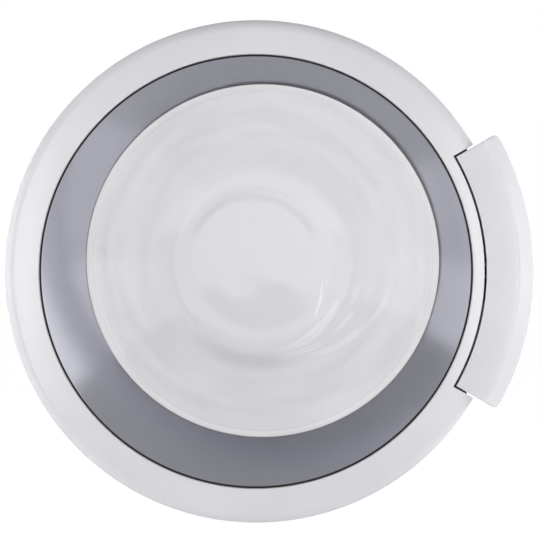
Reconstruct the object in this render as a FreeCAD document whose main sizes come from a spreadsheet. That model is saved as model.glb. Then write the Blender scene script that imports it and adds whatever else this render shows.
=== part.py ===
import FreeCAD, Part
import math
import os
import Sketcher
from FreeCAD import Vector

# Door of a front-loading washing machine, closed: white ring, grey bezel, glass bowl, hidden
# goose-neck hinge on the left and a pull handle on the right that draws the latch hook.
# Millimetres and degrees. The origin is the middle of the hinge plate's two screw holes on the
# cabinet's face, +Y goes into the cabinet, +X towards the handle and +Z up.
# Pieces of the door are drawn about the door's axis, with depth counted back from its front plane.

SIZES = [
    # front frame
    ("frame_radius", 225.0, "outer radius of the white ring"),
    ("face_width", 32.0, "width of the ring's face, edge included"),
    ("face_drop", 2.5, "how far the face slopes back to its edge"),
    ("edge_chamfer", 6.0, "chamfer of the ring's outer edge"),
    ("frame_wall", 2.6, "wall of the ring"),
    ("strip_depth", 3.6, "back of the thinner strip beside the notch"),
    ("notch_inset", 22.0, "depth of the handle's notch from the ring's edge"),
    ("notch_half_angle", 30.3, "half angle of the handle's notch"),
    ("notch_wall_angle", 0.7, "angle taken up by the notch's end wall"),
    # screws that join the two frames
    ("boss_inset", 18.0, "screw circle, in from the ring's edge"),
    ("boss_half", 4.0, "half the side of a square screw post"),
    ("boss_first_angle", 44.0, "first boss, from the middle of the handle"),
    ("boss_span_angle", 108.0, "from the first boss to the last of one side"),
    ("bosses_per_side", 3, "posts above the handle, and as many below"),
    ("frame_screw_radius", 1.9, "screw shank"),
    ("frame_screw_length", 18.0, "screw shank length"),
    ("frame_head_radius", 4.2, "hexagon head, to its corners"),
    ("frame_head_height", 2.3, "screw head height"),
    ("screw_clearance", 0.3, "round a screw where it passes through"),
    # bezel ring
    ("bezel_gap", 1.6, "shadow gap between the ring and the bezel"),
    ("bezel_wall", 3.2, "bezel's wall, measured across the axis"),
    ("bezel_flange_wall", 2.0, "flange behind the ring's face"),
    ("bezel_flange_reach", 3.0, "flange past the ring's inner edge"),
    ("bezel_width", 29.0, "bezel from its top to its opening, on average"),
    ("opening_across", 5.7, "opening's middle, towards the handle"),
    ("opening_up", 9.9, "opening's middle, above the ring's"),
    # glass bowl
    ("glass_depth", 48.0, "front plane to the glass flange"),
    ("flange_wall", 5.0, "glass flange"),
    ("flange_overlap", 9.3, "flange outside the opening"),
    ("mouth_inset", 6.2, "flange inside the opening"),
    ("bowl_depth", 84.0, "flange to the flat nose"),
    ("nose_radius", 84.0, "flat nose before its bevel"),
    ("bowl_wall", 8.0, "bowl's wall, measured across the axis"),
    ("nose_wall", 6.0, "nose wall"),
    ("mouth_bevel", 3.0, "bevel from the flange into the bowl"),
    ("nose_bevel", 9.0, "bevel from the bowl into the nose"),
    # rear frame
    ("plate_lead", 2.0, "rear plate's front before the glass flange"),
    ("rear_wall", 2.5, "rear plate"),
    ("rear_inset", 1.0, "rear plate's edge, in from the ring's edge"),
    ("rear_gap", 0.4, "between the ring's side wall and the rear plate"),
    ("glass_clearance", 0.5, "round the glass flange"),
    ("hub_wall", 7.0, "hub round the glass flange"),
    ("clamp_wall", 3.0, "lip behind the glass flange"),
    ("clamp_width", 8.5, "how far that lip reaches over the flange"),
    ("cabinet_gap", 3.5, "between the rear plate and the cabinet"),
    ("shield_inset", 6.6, "wall behind the handle, in from the ring's edge"),
    ("shield_wall", 2.2, "that wall's thickness"),
    ("shield_height", 19.0, "that wall before the plate"),
    ("shield_end_angle", 0.8, "that wall ends short of the notch"),
    # hinge
    ("hinge_inset", 15.0, "hinge axis, in from the ring's edge"),
    ("hinge_depth", 25.0, "hinge axis behind the front plane"),
    ("plate_offset", 15.0, "hinge axis to the middle of the plate"),
    ("plate_width", 20.0, "hinge plate"),
    ("plate_height", 100.0, "hinge plate"),
    ("plate_wall", 4.0, "hinge plate"),
    ("plate_corner", 6.0, "rounded corners of the plate"),
    ("mount_spacing", 76.0, "between the two cabinet screws"),
    ("mount_hole_radius", 2.75, "cabinet screw hole"),
    ("arm_gap", 26.0, "between the two arms"),
    ("arm_wall", 9.0, "arm, along the pin"),
    ("arm_half", 5.0, "half the arm's depth"),
    ("neck_offset", 15.0, "hinge axis to the neck"),
    ("neck_width", 9.0, "neck of the arm"),
    ("neck_corner", 6.0, "outside corner of the neck"),
    ("neck_hollow", 2.0, "inside corner of the neck"),
    ("hinge_pin_radius", 3.0, "hinge pin"),
    ("pin_end", 1.0, "pin past the knuckles"),
    ("bush_wall", 1.4, "bush sleeve"),
    ("bush_clearance", 0.05, "pin in the bush"),
    ("bush_flange_wall", 1.2, "bush flange"),
    ("hinge_end_gap", 0.2, "bush flange to the arm"),
    ("knuckle_length", 12.0, "knuckle"),
    ("knuckle_wall", 1.8, "knuckle round the bush"),
    ("leaf_gap", 8.0, "hinge axis to the leaf"),
    ("leaf_wall", 4.0, "leaf"),
    ("leaf_outer", 6.0, "leaf outside the axis"),
    ("leaf_inner", 13.0, "leaf inside the axis"),
    ("leaf_height", 92.0, "leaf"),
    ("leaf_screw_offset", 7.0, "hinge axis to the leaf's screws"),
    ("leaf_screw_half", 42.0, "leaf screws from the middle"),
    ("leaf_boss_half", 4.4, "half the side of a post under the leaf"),
    ("leaf_screw_radius", 2.0, "leaf screw"),
    ("leaf_screw_length", 11.0, "leaf screw"),
    ("leaf_head_radius", 4.2, "hexagon head, to its corners"),
    ("leaf_head_height", 2.0, "leaf screw head"),
    ("slot_clearance", 1.2, "round the arms where they pass the ring"),
    ("swing_room", 12.0, "ring's side wall behind the axis, beside the plate"),
    ("window_clearance", 3.0, "round the hinge plate in the rear frame"),
    # handle
    ("handle_gap", 2.0, "gap round the grip"),
    ("grip_width", 44.0, "grip, from its inner to its outer edge"),
    ("grip_flat", 29.0, "flat part of the grip's face"),
    ("flank_drop", 12.5, "how far the grip's flank falls back"),
    ("grip_depth", 21.0, "grip from front to back"),
    ("grip_wall", 2.6, "grip's side walls"),
    ("grip_skin", 2.8, "grip's face"),
    ("grip_corner", 6.0, "outer corners of the grip"),
    ("grip_boss_radius", 3.6, "boss in the grip"),
    ("pivot_inset", 3.2, "handle pin, in from the notch"),
    ("pivot_depth", 7.6, "handle pin behind the front plane"),
    ("handle_pin_radius", 1.75, "handle pin"),
    ("pin_clearance", 0.05, "pins in what turns on them"),
    ("lug_radius", 3.2, "lever's lug round the pin"),
    ("lug_wall", 5.0, "lug, along the pin"),
    ("lever_start", 8.2, "handle pin to the lever's plate"),
    ("lever_width", 16.0, "lever's plate"),
    ("lever_height", 68.0, "lever's plate"),
    ("lever_wall", 3.0, "lever's plate"),
    ("lever_rise", 1.4, "lever's plate behind the handle pin"),
    ("lever_screw_inset", 9.0, "lever's screws from its inner edge"),
    ("lever_screw_half", 28.0, "lever's screws from the middle"),
    ("lever_screw_radius", 1.5, "lever's screws"),
    ("lever_screw_length", 8.0, "lever's screws"),
    ("lever_head_radius", 3.3, "hexagon head, to its corners"),
    ("lever_head_height", 1.8, "lever's screw heads"),
    ("finger_offset", 9.4, "handle pin to the finger's pushing face"),
    ("finger_wall", 3.0, "pusher finger"),
    ("finger_width", 9.0, "pusher finger, along the pin"),
    ("finger_reach", 16.4, "pusher finger behind the handle pin"),
    ("lug_window", 3.0, "room beside the lugs in the grip's wall"),
    # latch
    ("cheek_gap", 24.0, "between the carrier's cheeks"),
    ("cheek_wall", 3.0, "carrier's cheeks"),
    ("cheek_side_gap", 3.0, "between a cheek and a lug"),
    ("spine_wall", 1.6, "carrier's spine"),
    ("spine_gap", 0.2, "between the spine and the spring's leg"),
    ("spine_start", 5.4, "spine behind the handle pin"),
    ("carrier_base_wall", 6.0, "carrier's base"),
    ("carrier_width", 18.0, "carrier's base"),
    ("carrier_height", 64.0, "carrier's base"),
    ("carrier_screw_offset", 9.0, "carrier's screws from its spine"),
    ("carrier_screw_half", 24.0, "carrier's screws from the middle"),
    ("latch_offset", 5.7, "handle pin to hook pin, towards the handle"),
    ("latch_lift", 12.0, "hook pin before the rear plate"),
    ("latch_pin_radius", 2.0, "hook pin"),
    ("push_gap", 0.4, "pusher finger to the hook's tail"),
    ("tail_wall", 2.8, "hook's tail"),
    ("tail_reach", 15.0, "hook's tail before its pin"),
    ("hook_width", 10.0, "hook, along the pin"),
    ("hook_eye", 5.0, "hook round its pin"),
    ("shank_right", 4.1, "hook's shank, towards the handle"),
    ("shank_left", 3.9, "hook's shank, towards the glass"),
    ("catch_depth", 10.0, "hook's catch behind the cabinet's face"),
    ("catch_reach", 6.0, "hook's catch, out from the shank"),
    ("nose_length", 12.0, "hook's nose behind its catch"),
    ("hook_slot_half", 5.8, "half the hook's slot"),
    ("hook_slot_left", 8.8, "hook's slot, towards the glass"),
    ("hook_slot_right", 6.5, "hook's slot, towards the handle"),
    ("stud_radius", 1.2, "spring stud on the hook"),
    ("stud_height", 4.5, "spring stud on the hook"),
    ("stud_gap", 0.3, "spring stud to the spring's leg"),
    ("bar_depth", 7.4, "spring bar behind the handle pin"),
    ("bar_wall", 2.5, "spring bar"),
    # springs
    ("wire_radius", 0.5, "spring wire"),
    ("spring_clearance", 0.5, "spring coil round its pin"),
    ("spring_pitch", 1.3, "pitch of the coils"),
    ("spring_turns", 2, "whole turns of each coil"),
    ("spring_side_gap", 0.9, "coil to the hook's or finger's side"),
]

doc = FreeCAD.newDocument("WasherDoor")
sheet = doc.addObject("Spreadsheet::Sheet", "Sizes")
for row, (alias, amount, meaning) in enumerate(SIZES, start=1):
    sheet.set(f"A{row}", meaning)
    sheet.set(f"B{row}", str(amount))
    sheet.setAlias(f"B{row}", alias)
doc.recompute()


class Size:
    """A number and the sheet expression that gives it, so what is drawn from it stays tied to the sheet."""

    def __init__(self, value, text):
        self.value = value
        self.text = text

    def __add__(self, other):
        other = as_size(other)
        return Size(self.value + other.value, f"({self.text} + {other.text})")

    def __sub__(self, other):
        other = as_size(other)
        return Size(self.value - other.value, f"({self.text} - {other.text})")

    def __mul__(self, other):
        other = as_size(other)
        return Size(self.value * other.value, f"({self.text} * {other.text})")

    def __truediv__(self, other):
        other = as_size(other)
        return Size(self.value / other.value, f"({self.text} / {other.text})")

    def __neg__(self):
        return Size(-self.value, f"(0 - {self.text})")

    def __radd__(self, other):
        return as_size(other) + self

    def __rsub__(self, other):
        return as_size(other) - self

    def __rmul__(self, other):
        return as_size(other) * self


def as_size(amount):
    """A plain number as a Size."""
    return amount if isinstance(amount, Size) else Size(float(amount), f"({float(amount)})")


def cosine(angle):
    return Size(math.cos(math.radians(angle.value)), f"cos({angle.text} * 1 deg)")


def sine(angle):
    return Size(math.sin(math.radians(angle.value)), f"sin({angle.text} * 1 deg)")


class Sheet:
    """The sheet's cells by name."""

    def __getattr__(self, alias):
        return Size(float(sheet.get(alias)), f"Sizes.{alias}")


s = Sheet()


# What every feature is made with

def bind(thing, prop, amount):
    """Tie one property to its expression."""
    thing.setExpression(prop, as_size(amount).text)


def new_body(label, x, y, z=0.0):
    """A body whose own origin stands at (x, y, z) in the part's frame."""
    body = doc.addObject("PartDesign::Body", label)
    body.Label = label
    bind(body, "Placement.Base.x", x)
    bind(body, "Placement.Base.y", y)
    bind(body, "Placement.Base.z", z)
    return body


def origin_feature(body, role):
    return [item for item in body.Origin.OriginFeatures if item.Role == role][0]


def sketch_on(body, plane, offset=None):
    """An empty sketch on an origin plane, moved along the plane's normal by the offset."""
    sketch = body.newObject("Sketcher::SketchObject", "Sketch")
    sketch.AttachmentSupport = [(origin_feature(body, plane), "")]
    sketch.MapMode = "FlatFace"
    if offset is not None:
        bind(sketch, "AttachmentOffset.Base.z", offset)
    return sketch


def plan(body, height=None):
    """A sketch seen from above: across is X, up the page is depth."""
    return sketch_on(body, "XY_Plane", height)


def front(body, depth=0.0):
    """A sketch seen from the front, at a depth behind the body's origin."""
    return sketch_on(body, "XZ_Plane", -as_size(depth))


def pin_point(sketch, piece, end, across, up):
    """Hold one end of a drawn piece at its place."""
    for kind, axis, amount in (("DistanceX", -2, across), ("DistanceY", -1, up)):
        amount = as_size(amount)
        if amount.value == 0.0:
            sketch.addConstraint(Sketcher.Constraint("PointOnObject", piece, end, axis))
        else:
            index = sketch.addConstraint(Sketcher.Constraint(kind, -1, 1, piece, end, amount.value))
            bind(sketch, f"Constraints[{index}]", amount)


def arc_between(start, end, radius):
    """The short arc from start to end, turning left for a positive radius."""
    chord = end - start
    rise = math.sqrt(max(radius * radius - chord.Length ** 2 / 4, 0.0))
    side = Vector(-chord.y, chord.x, 0).normalize()
    centre = (start + end) * 0.5 + side * math.copysign(rise, radius)
    first, last = (start, end) if radius > 0 else (end, start)
    angles = [math.atan2(point.y - centre.y, point.x - centre.x) for point in (first, last)]
    circle = Part.Circle(centre, Vector(0, 0, 1), abs(radius))
    return Part.ArcOfCircle(circle, angles[0], angles[1])


def outline(sketch, corners):
    """A closed outline; a corner's third value is the radius of the arc to the next corner."""
    first = sketch.GeometryCount
    ends = []
    for index, corner in enumerate(corners):
        following = corners[(index + 1) % len(corners)]
        start, end = [Vector(as_size(c[0]).value, as_size(c[1]).value, 0) for c in (corner, following)]
        if len(corner) == 2:
            sketch.addGeometry(Part.LineSegment(start, end), False)
            ends.append((1, 2))
        else:
            radius = as_size(corner[2]).value
            sketch.addGeometry(arc_between(start, end, radius), False)
            ends.append((1, 2) if radius > 0 else (2, 1))
    for index, corner in enumerate(corners):
        piece = first + index
        following = (index + 1) % len(corners)
        sketch.addConstraint(Sketcher.Constraint(
            "Coincident", piece, ends[index][1], first + following, ends[following][0]))
        pin_point(sketch, piece, ends[index][0], corner[0], corner[1])
        if len(corner) == 3:
            radius = as_size(corner[2])
            radius = radius if radius.value > 0 else -radius
            number = sketch.addConstraint(Sketcher.Constraint("Radius", piece, radius.value))
            bind(sketch, f"Constraints[{number}]", radius)
    return sketch


def rectangle(sketch, left, right, low, high):
    return outline(sketch, [(left, low), (right, low), (right, high), (left, high)])


def circle(sketch, across, up, radius):
    radius = as_size(radius)
    centre = Vector(as_size(across).value, as_size(up).value, 0)
    piece = sketch.addGeometry(Part.Circle(centre, Vector(0, 0, 1), radius.value), False)
    pin_point(sketch, piece, 3, across, up)
    number = sketch.addConstraint(Sketcher.Constraint("Radius", piece, radius.value))
    bind(sketch, f"Constraints[{number}]", radius)
    return sketch


def hexagon(sketch, across, up, radius):
    """A six-sided outline with corners to the left and right."""
    rise = radius * math.sqrt(3) / 2
    return outline(sketch, [
        (across + radius, up), (across + radius / 2, up + rise), (across - radius / 2, up + rise),
        (across - radius, up), (across - radius / 2, up - rise), (across + radius / 2, up - rise)])


def new_feature(body, kind, name):
    """An empty feature, and the body's volume before it."""
    before = 0.0 if body.Shape.isNull() else body.Shape.Volume
    return body.newObject(f"PartDesign::{kind}", name), before


def finish_feature(body, feature, before, cuts):
    """Recompute, and make sure that the feature added or took away material."""
    doc.recompute()
    gained = feature.Shape.Volume - before
    if (gained >= 0) == cuts:
        raise RuntimeError(f"{body.Label}: {feature.Name} changed the volume by {gained:.3f}")
    return feature


def turn(body, sketch, angle=None, cuts=False):
    """Revolve a section about the body's depth axis, all round or by an angle about the sketch."""
    feature, before = new_feature(body, "Groove" if cuts else "Revolution", "Turn")
    feature.Profile = sketch
    feature.ReferenceAxis = (sketch, ["V_Axis"])
    if angle is None:
        feature.Angle = 360
    else:
        bind(feature, "Angle", angle)
        feature.Midplane = True
    return finish_feature(body, feature, before, cuts)


def pad(body, sketch, length, both_ways=False, flip=False):
    feature, before = new_feature(body, "Pad", "Pad")
    feature.Profile = sketch
    feature.Midplane = both_ways
    feature.Reversed = flip
    bind(feature, "Length", length)
    return finish_feature(body, feature, before, False)


def pocket(body, sketch, length, both_ways=False, flip=False):
    feature, before = new_feature(body, "Pocket", "Pocket")
    feature.Profile = sketch
    feature.Midplane = both_ways
    feature.Reversed = flip
    bind(feature, "Length", length)
    return finish_feature(body, feature, before, True)


def loft(body, sketches, cuts=False):
    """A straight-sided form through outlines at several depths."""
    feature, before = new_feature(body, "SubtractiveLoft" if cuts else "AdditiveLoft", "Loft")
    feature.Profile = sketches[0]
    feature.Sections = sketches[1:]
    feature.Ruled = True
    return finish_feature(body, feature, before, cuts)


def mirror(body, feature):
    """The same feature again below the door's middle."""
    copy, before = new_feature(body, "Mirrored", "Mirrored")
    copy.Originals = [feature]
    copy.MirrorPlane = (origin_feature(body, "XY_Plane"), [""])
    body.Tip = copy
    return finish_feature(body, copy, before, "Pocket" in feature.Name)


def around_and_mirrored(body, feature):
    """The same feature at every frame screw: round the ring's upper side, and mirrored below."""
    both, before = new_feature(body, "MultiTransform", "Repeat")
    both.Originals = [feature]
    polar = doc.addObject("PartDesign::PolarPattern", "Polar")
    polar.Axis = (origin_feature(body, "Y_Axis"), [""])
    polar.Reversed = True
    bind(polar, "Angle", s.boss_span_angle)
    bind(polar, "Occurrences", s.bosses_per_side)
    below = doc.addObject("PartDesign::Mirrored", "Below")
    below.MirrorPlane = (origin_feature(body, "XY_Plane"), [""])
    both.Transformations = [polar, below]
    body.Tip = both
    return finish_feature(body, both, before, "Pocket" in feature.Name)


def round_edges(body, radius, wanted):
    """Round the edges of the body's last feature that the test picks."""
    base = body.Tip
    names = [f"Edge{number}" for number, edge in enumerate(base.Shape.Edges, start=1) if wanted(edge)]
    fillet = body.newObject("PartDesign::Fillet", "Fillet")
    fillet.Base = (base, names)
    bind(fillet, "Radius", radius)
    doc.recompute()
    return fillet


def hexagon_bar(radius, start, end):
    """A six-sided bar along Y with corners to the left and right."""
    corners = [Vector(radius.value * math.cos(side * math.pi / 3), start.value,
                      radius.value * math.sin(side * math.pi / 3)) for side in range(7)]
    return Part.Face(Part.makePolygon(corners)).extrude(Vector(0, end.value - start.value, 0))


def screw(head_radius, head_height, radius, length):
    """A screw along Y, its head behind the seat at zero; head and thread core are left six-sided."""
    head = hexagon_bar(head_radius, as_size(0), head_height)
    return head.fuse(hexagon_bar(radius, -length, as_size(0))).Solids[0]


def feature_group(label, solids, x, y):
    """Separate solids of one kind in one node, placed with the door or the hinge."""
    group = doc.addObject("Part::Feature", label)
    group.Label = label
    group.Shape = Part.makeCompound(solids) if len(solids) > 1 else solids[0]
    bind(group, "Placement.Base.x", x)
    bind(group, "Placement.Base.y", y)
    return group


# Places that several pieces share

plate_front = s.glass_depth - s.plate_lead
plate_back = plate_front + s.rear_wall
door_depth = plate_back + s.cabinet_gap
door_x = s.frame_radius - s.hinge_inset - s.plate_offset
door_y = -door_depth
hinge_x = -s.plate_offset
hinge_y = s.hinge_depth - door_depth

face_inner = s.frame_radius - s.face_width
face_outer = s.frame_radius - s.edge_chamfer
edge_depth = s.face_drop + s.edge_chamfer
skin_back = s.face_drop + s.frame_wall
side_inner = s.frame_radius - s.frame_wall
frame_back = plate_front - s.rear_gap
bezel_outer = face_inner - s.bezel_gap
window_radius = bezel_outer - s.bezel_width
notch_radius = s.frame_radius - s.notch_inset
boss_circle = s.frame_radius - s.boss_inset
flange_radius = window_radius + s.flange_overlap
hub_outer = flange_radius + s.glass_clearance + s.hub_wall
shield_inner = s.frame_radius - s.shield_inset - s.shield_wall
shield_outer = s.frame_radius - s.shield_inset

arm_inner = s.arm_gap / 2
arm_outer = arm_inner + s.arm_wall
knuckle_start = arm_outer + s.hinge_end_gap + s.bush_flange_wall
knuckle_end = knuckle_start + s.knuckle_length
knuckle_bore = s.hinge_pin_radius + s.bush_clearance + s.bush_wall
knuckle_radius = knuckle_bore + s.knuckle_wall
leaf_back = s.hinge_depth - s.leaf_gap
leaf_front = leaf_back - s.leaf_wall
leaf_screw_x = s.leaf_screw_offset - (s.frame_radius - s.hinge_inset)

pivot_x = notch_radius - s.pivot_inset
pivot_y = s.pivot_depth
latch_x = pivot_x + s.latch_offset
latch_y = plate_front - s.latch_lift
grip_inner = notch_radius + s.handle_gap
grip_outer = grip_inner + s.grip_width
grip_half_angle = s.notch_half_angle - s.handle_gap / s.frame_radius * math.degrees(1)
cheek_inner = s.cheek_gap / 2
cheek_outer = cheek_inner + s.cheek_wall
lug_inner = cheek_outer + s.cheek_side_gap
lug_outer = lug_inner + s.lug_wall
lever_left = pivot_x + s.lever_start
lever_front = pivot_y + s.lever_rise
lever_back = lever_front + s.lever_wall
lever_screw_x = lever_left + s.lever_screw_inset
coil_radius = s.handle_pin_radius + s.spring_clearance + s.wire_radius
latch_coil_radius = s.latch_pin_radius + s.spring_clearance + s.wire_radius
spine_right = pivot_x - coil_radius - s.wire_radius - s.spine_gap
spine_left = spine_right - s.spine_wall
carrier_screw_x = spine_left + s.carrier_screw_offset
base_front = plate_front - s.carrier_base_wall


def bowl_front(depth):
    """Radius of the bowl's inside wall at a depth behind the flange's front."""
    mouth = window_radius - s.mouth_inset
    return mouth - (mouth - s.nose_radius) * (depth / s.bowl_depth)


# Front frame: white ring, hollow at the back, with the handle's notch, its end walls and screw posts

front_frame = new_body("front_frame", door_x, door_y)
turn(front_frame, outline(plan(front_frame), [
    (face_inner, 0.0),
    (face_outer, s.face_drop),
    (s.frame_radius, edge_depth),
    (s.frame_radius, frame_back),
    (face_inner, frame_back)]))

past_radius = s.frame_radius + s.edge_chamfer
past_back = frame_back + s.edge_chamfer
notch_cos = cosine(s.notch_half_angle)
notch_sin = sine(s.notch_half_angle)
pocket(front_frame, outline(front(front_frame), [
    (notch_radius * notch_cos, notch_radius * notch_sin, -notch_radius),
    (notch_radius * notch_cos, -(notch_radius * notch_sin)),
    (past_radius * notch_cos, -(past_radius * notch_sin), past_radius),
    (past_radius * notch_cos, past_radius * notch_sin)]), door_depth)

past_inner = face_inner - s.frame_wall
turn(front_frame, rectangle(plan(front_frame), -side_inner, -past_inner, skin_back, past_back),
     360 - 2 * (s.notch_half_angle + s.notch_wall_angle), cuts=True)
turn(front_frame, rectangle(plan(front_frame), past_inner, notch_radius + s.frame_wall,
                            skin_back, past_back),
     3 * s.notch_half_angle, cuts=True)
turn(front_frame, rectangle(plan(front_frame), face_inner + s.bezel_flange_reach + s.bezel_gap,
                            notch_radius + s.frame_wall, s.strip_depth, past_back),
     2 * s.notch_half_angle, cuts=True)

boss_x = boss_circle * cosine(s.boss_first_angle)
boss_z = boss_circle * sine(s.boss_first_angle)
post_side = rectangle(front(front_frame, s.face_drop), boss_x - s.boss_half, boss_x + s.boss_half,
                      boss_z - s.boss_half, boss_z + s.boss_half)
post = pad(front_frame, post_side, plate_front - s.face_drop, flip=True)
around_and_mirrored(front_frame, post)
pilot_length = s.frame_screw_length - s.rear_wall
pilot = pocket(front_frame, hexagon(front(front_frame, plate_front - pilot_length), boss_x, boss_z,
                                    s.frame_screw_radius), pilot_length)
around_and_mirrored(front_frame, pilot)

leaf_posts = front(front_frame, s.face_drop)
leaf_pilots = front(front_frame, leaf_front - (s.leaf_screw_length - s.leaf_wall))
for level in (s.leaf_screw_half, -s.leaf_screw_half):
    rectangle(leaf_posts, leaf_screw_x - s.leaf_boss_half, leaf_screw_x + s.leaf_boss_half,
              level - s.leaf_boss_half, level + s.leaf_boss_half)
    hexagon(leaf_pilots, leaf_screw_x, level, s.leaf_screw_radius)
pad(front_frame, leaf_posts, leaf_front - s.face_drop, flip=True)
pocket(front_frame, leaf_pilots, s.leaf_screw_length - s.leaf_wall)

slot_half = arm_outer + s.slot_clearance
slot_start = s.hinge_depth - s.arm_half - s.slot_clearance
pocket(front_frame, rectangle(front(front_frame, slot_start), -past_radius, -face_outer,
                              -slot_half, slot_half), door_depth)
window_half = s.plate_height / 2 + s.window_clearance
pocket(front_frame, rectangle(front(front_frame, s.hinge_depth + s.swing_room), -past_radius, -boss_circle,
                              -window_half, window_half), door_depth)


# Bezel ring: cone from behind the ring's face down to the glass, its opening off the ring's middle,
# with a flange under that face

bezel_ring = new_body("bezel_ring", door_x, door_y)


def bezel_circles(wall):
    """Top and opening of the bezel's face, or of its back a wall further out."""
    return [circle(front(bezel_ring, skin_back), 0.0, 0.0, bezel_outer + wall),
            circle(front(bezel_ring, s.glass_depth), s.opening_across, s.opening_up, window_radius + wall)]


loft(bezel_ring, bezel_circles(s.bezel_wall))
bezel_flange = circle(front(bezel_ring, skin_back), 0.0, 0.0, face_inner + s.bezel_flange_reach)
pad(bezel_ring, circle(bezel_flange, 0.0, 0.0, bezel_outer), s.bezel_flange_wall, flip=True)
loft(bezel_ring, bezel_circles(as_size(0)), cuts=True)


# Glass bowl: pressed glass behind the opening, flat flange, conical wall and flat nose

bowl_end = s.glass_depth + s.bowl_depth
bowl_back = s.bowl_depth + s.nose_wall
mouth_radius = window_radius - s.mouth_inset
glass_bowl = new_body("glass_bowl", door_x + s.opening_across, door_y, s.opening_up)
turn(glass_bowl, outline(plan(glass_bowl), [
    (flange_radius, s.glass_depth),
    (flange_radius, s.glass_depth + s.flange_wall),
    (bowl_front(s.flange_wall) + s.bowl_wall, s.glass_depth + s.flange_wall),
    (bowl_front(bowl_back - s.nose_bevel) + s.bowl_wall, s.glass_depth + bowl_back - s.nose_bevel),
    (bowl_front(bowl_back) + s.bowl_wall - s.nose_bevel, s.glass_depth + bowl_back),
    (0.0, s.glass_depth + bowl_back),
    (0.0, bowl_end),
    (s.nose_radius - s.nose_bevel, bowl_end),
    (bowl_front(s.bowl_depth - s.nose_bevel), bowl_end - s.nose_bevel),
    (bowl_front(s.mouth_bevel), s.glass_depth + s.mouth_bevel),
    (mouth_radius + s.mouth_bevel, s.glass_depth)]))


# Rear frame: white plate inside the front frame, with a hub that clamps the glass flange

flange_back = s.glass_depth + s.flange_wall
clamp_back = flange_back + s.clamp_wall
rear_outer = s.frame_radius - s.rear_inset
rear_frame = new_body("rear_frame", door_x, door_y)


def round_opening(sketch, radius):
    """A circle about the opening's middle."""
    return circle(sketch, s.opening_across, s.opening_up, radius)


pad(rear_frame, circle(front(rear_frame, plate_front), 0.0, 0.0, rear_outer), s.rear_wall, flip=True)
pad(rear_frame, round_opening(front(rear_frame, plate_front), hub_outer),
    clamp_back - plate_front, flip=True)
pocket(rear_frame, round_opening(front(rear_frame, plate_front), flange_radius + s.glass_clearance),
       flange_back - plate_front)
pocket(rear_frame, round_opening(front(rear_frame, plate_front), flange_radius - s.clamp_width), door_depth)

cut_angle = s.notch_half_angle - s.shield_end_angle
pocket(rear_frame, outline(front(rear_frame), [
    (shield_outer * cosine(cut_angle), shield_outer * sine(cut_angle), -shield_outer),
    (shield_outer * cosine(cut_angle), -(shield_outer * sine(cut_angle))),
    (past_radius * cosine(cut_angle), -(past_radius * sine(cut_angle)), past_radius),
    (past_radius * cosine(cut_angle), past_radius * sine(cut_angle))]), door_depth)
turn(rear_frame, rectangle(plan(rear_frame), shield_inner, shield_outer, plate_front - s.shield_height,
                           plate_back), 2 * (s.notch_half_angle - s.shield_end_angle))

hole = pocket(rear_frame, hexagon(front(rear_frame), boss_x, boss_z,
                                  s.frame_screw_radius + s.screw_clearance), door_depth)
around_and_mirrored(rear_frame, hole)
pocket(rear_frame, rectangle(front(rear_frame), latch_x - s.hook_slot_left, latch_x + s.hook_slot_right,
                             -s.hook_slot_half, s.hook_slot_half), door_depth)
carrier_holes = front(rear_frame)
for level in (s.carrier_screw_half, -s.carrier_screw_half):
    hexagon(carrier_holes, carrier_screw_x, level, s.frame_screw_radius + s.screw_clearance)
pocket(rear_frame, carrier_holes, door_depth)

window_right = s.plate_width / 2 - door_x
pocket(rear_frame, rectangle(front(rear_frame), -past_radius, window_right + s.slot_clearance,
                             -window_half, window_half), door_depth)


# Screws of the frames, the leaf, the carrier and the lever

def above_and_below(one_screw, x, depth, height):
    """One screw at a place, and its mirror image below the door's middle."""
    above = one_screw.translated(Vector(x.value, depth.value, height.value))
    return [above, above.mirror(Vector(0, 0, 0), Vector(0, 0, 1))]


frame_screw = screw(s.frame_head_radius, s.frame_head_height, s.frame_screw_radius, s.frame_screw_length)
angle_step = s.boss_span_angle.value / (s.bosses_per_side.value - 1)
turned_screws = []
for side, first_screw in zip((1, -1), above_and_below(frame_screw, boss_x, plate_back, boss_z)):
    for number in range(int(s.bosses_per_side.value)):
        turn_angle = -side * number * angle_step
        turned_screws.append(first_screw.rotated(Vector(0, 0, 0), Vector(0, 1, 0), turn_angle))
frame_screws = feature_group("frame_screws", turned_screws, door_x, door_y)

leaf_screw = screw(s.leaf_head_radius, s.leaf_head_height, s.leaf_screw_radius, s.leaf_screw_length)
leaf_screw_pair = above_and_below(leaf_screw, leaf_screw_x, leaf_back, s.leaf_screw_half)
hinge_leaf_screws = feature_group("hinge_leaf_screws", leaf_screw_pair, door_x, door_y)

carrier_screw_length = s.rear_wall + s.carrier_base_wall
carrier_screw = screw(s.frame_head_radius, s.frame_head_height, s.frame_screw_radius, carrier_screw_length)
carrier_screws = feature_group(
    "carrier_screws", above_and_below(carrier_screw, carrier_screw_x, plate_back, s.carrier_screw_half),
    door_x, door_y)

lever_screw = screw(s.lever_head_radius, s.lever_head_height, s.lever_screw_radius, s.lever_screw_length)
lever_screw_pair = above_and_below(lever_screw, lever_screw_x, lever_back, s.lever_screw_half)
handle_screws = feature_group("handle_screws", lever_screw_pair, door_x, door_y)


# Hinge bracket: plate on the cabinet with two goose-neck arms round the ring's edge

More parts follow.
